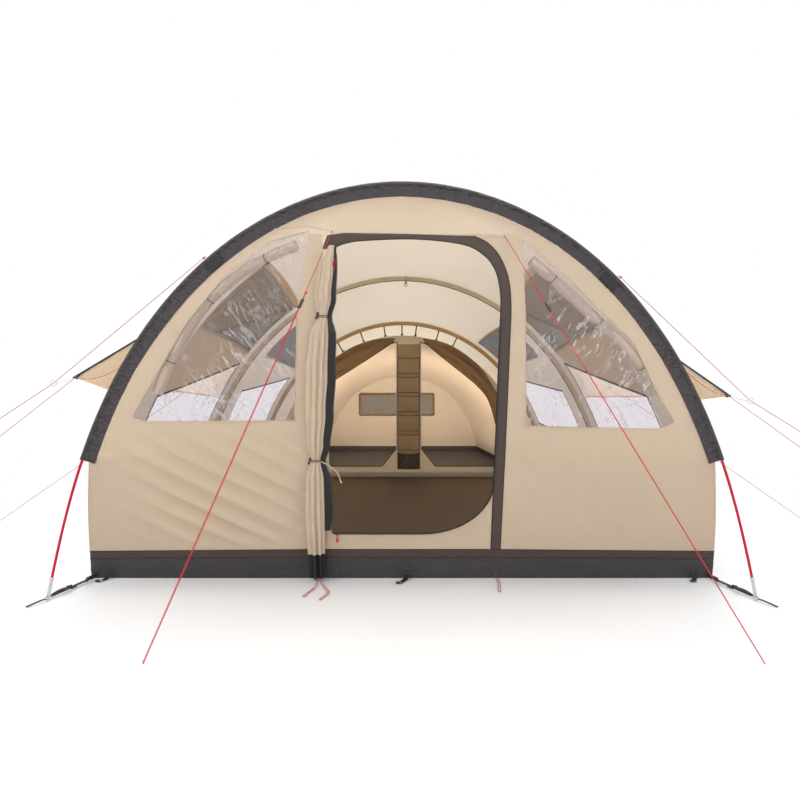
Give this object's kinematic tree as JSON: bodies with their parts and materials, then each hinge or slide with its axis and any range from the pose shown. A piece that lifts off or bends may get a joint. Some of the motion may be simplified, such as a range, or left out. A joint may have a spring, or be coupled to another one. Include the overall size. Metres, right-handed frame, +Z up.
{
  "type": "tunnel tent",
  "caption": "Arched tunnel tent on bent poles in fabric sleeves, with a porch door, side windows under pointed vent hoods, a sewn-in groundsheet, a hung inner tent and guy lines.",
  "frame": {"origin": "middle of the footprint on the ground, with free lines and their runners left out", "axes": "+Z up, -Y out through the front door, +X to the right for someone who faces the front"},
  "size_m": [5.8025, 6.2013, 2.027],
  "materials": {
    "canopy_cloth": "matt coated polyester, plain weave",
    "panel_cloth": "matt coated polyester, plain weave",
    "sleeve_cloth": "satin polyester sleeve",
    "band_cloth": "matt coated polyester",
    "ground_cloth": "dull laminated polyethylene",
    "inner_cloth": "light breathable polyester",
    "inner_brown": "light breathable polyester",
    "netting": "fine mesh",
    "cord_red": "braided polyester cord",
    "webbing": "woven webbing",
    "pole_paint": "coloured aluminium tube",
    "black_plastic": "moulded",
    "window_film": "clear flexible film"
  },
  "bodies": {
    "tent": {"canopy_front_bay": "canopy_cloth", "canopy_middle_bay": "canopy_cloth", "canopy_rear_bay": "canopy_cloth", "curtain_roll_left": "canopy_cloth", "curtain_roll_right": "canopy_cloth", "door_roll": "panel_cloth", "door_sill": "panel_cloth", "door_zip_flap": "sleeve_cloth", "door_zip_strip": "sleeve_cloth", "front_brow": "canopy_cloth", "front_guy_left": "cord_red", "front_guy_right": "cord_red", "front_panel_left": "panel_cloth", "front_panel_right": "panel_cloth", "front_pole": "pole_paint", "front_sleeve": "sleeve_cloth", "front_window_left": "window_film", "front_window_right": "window_film", "groundsheet": "ground_cloth", "hood_guy_left": "cord_red", "hood_guy_right": "cord_red", "inner_canopy": "inner_cloth", "inner_door_left": "inner_brown", "inner_door_right": "inner_brown", "inner_floor": "ground_cloth", "inner_front_wall": "inner_cloth", "inner_mesh_window": "netting", "mud_band": "band_cloth", "organiser": "inner_brown", "rear_panel": "canopy_cloth", "rear_pole": "pole_paint", "rear_sleeve": "canopy_cloth", "second_guy_left": "cord_red", "second_guy_right": "cord_red", "second_pole": "pole_paint", "second_sleeve": "canopy_cloth", "side_guy_left": "cord_red", "side_guy_right": "cord_red", "tensioner_strap_left": "webbing", "tensioner_strap_right": "webbing", "third_pole": "pole_paint", "third_sleeve": "canopy_cloth", "vent_front_left": "netting", "vent_front_right": "netting", "vent_hood_left": "canopy_cloth", "vent_hood_right": "canopy_cloth", "vent_middle_left": "netting", "vent_middle_right": "netting", "window_front_left": "window_film", "window_front_right": "window_film", "window_middle_left": "window_film", "window_middle_right": "window_film"},
    "front_runner_left": {"front_runner_left": "black_plastic"},
    "front_runner_right": {"front_runner_right": "black_plastic"},
    "side_runner_left": {"side_runner_left": "black_plastic"},
    "side_runner_right": {"side_runner_right": "black_plastic"},
    "zip_slider": {"zip_slider": "black_plastic"},
    "lamp_hook": {"lamp_hook": "black_plastic"},
    "strap_buckle_left": {"strap_buckle_left": "black_plastic"},
    "strap_buckle_right": {"strap_buckle_right": "black_plastic"}
  },
  "joints": [
    {"name": "front_runner_left_slide", "type": "slide", "parent": "tent", "child": "front_runner_left", "axis": [-0.3438, -0.2282, -0.9109], "range_m": [-0.02, 1.2]},
    {"name": "front_runner_right_slide", "type": "slide", "parent": "tent", "child": "front_runner_right", "axis": [0.4479, -0.2255, -0.8652], "range_m": [-0.02, 1.2]},
    {"name": "side_runner_left_slide", "type": "slide", "parent": "tent", "child": "side_runner_left", "axis": [-0.5951, -0.525, -0.6085], "range_m": [-0.28, 1.1]},
    {"name": "side_runner_right_slide", "type": "slide", "parent": "tent", "child": "side_runner_right", "axis": [0.6152, -0.5428, -0.5718], "range_m": [-0.28, 1.1]},
    {"name": "zip_slide", "type": "slide", "parent": "tent", "child": "zip_slider", "axis": [1, 0, 0], "range_m": [0, 0.4]},
    {"name": "lamp_hook_swing", "type": "hinge", "parent": "tent", "child": "lamp_hook", "pos_m": [0.03, -1.1353, 1.8137], "axis": [0, 1, 0], "range_deg": [-60, 60]},
    {"name": "strap_buckle_left_slide", "type": "slide", "parent": "tent", "child": "strap_buckle_left", "axis": [0.2776, 0.9607, 0], "range_m": [-0.06, 0.08]},
    {"name": "strap_buckle_right_slide", "type": "slide", "parent": "tent", "child": "strap_buckle_right", "axis": [-0.2776, 0.9607, 0], "range_m": [-0.06, 0.08]}
  ]
}
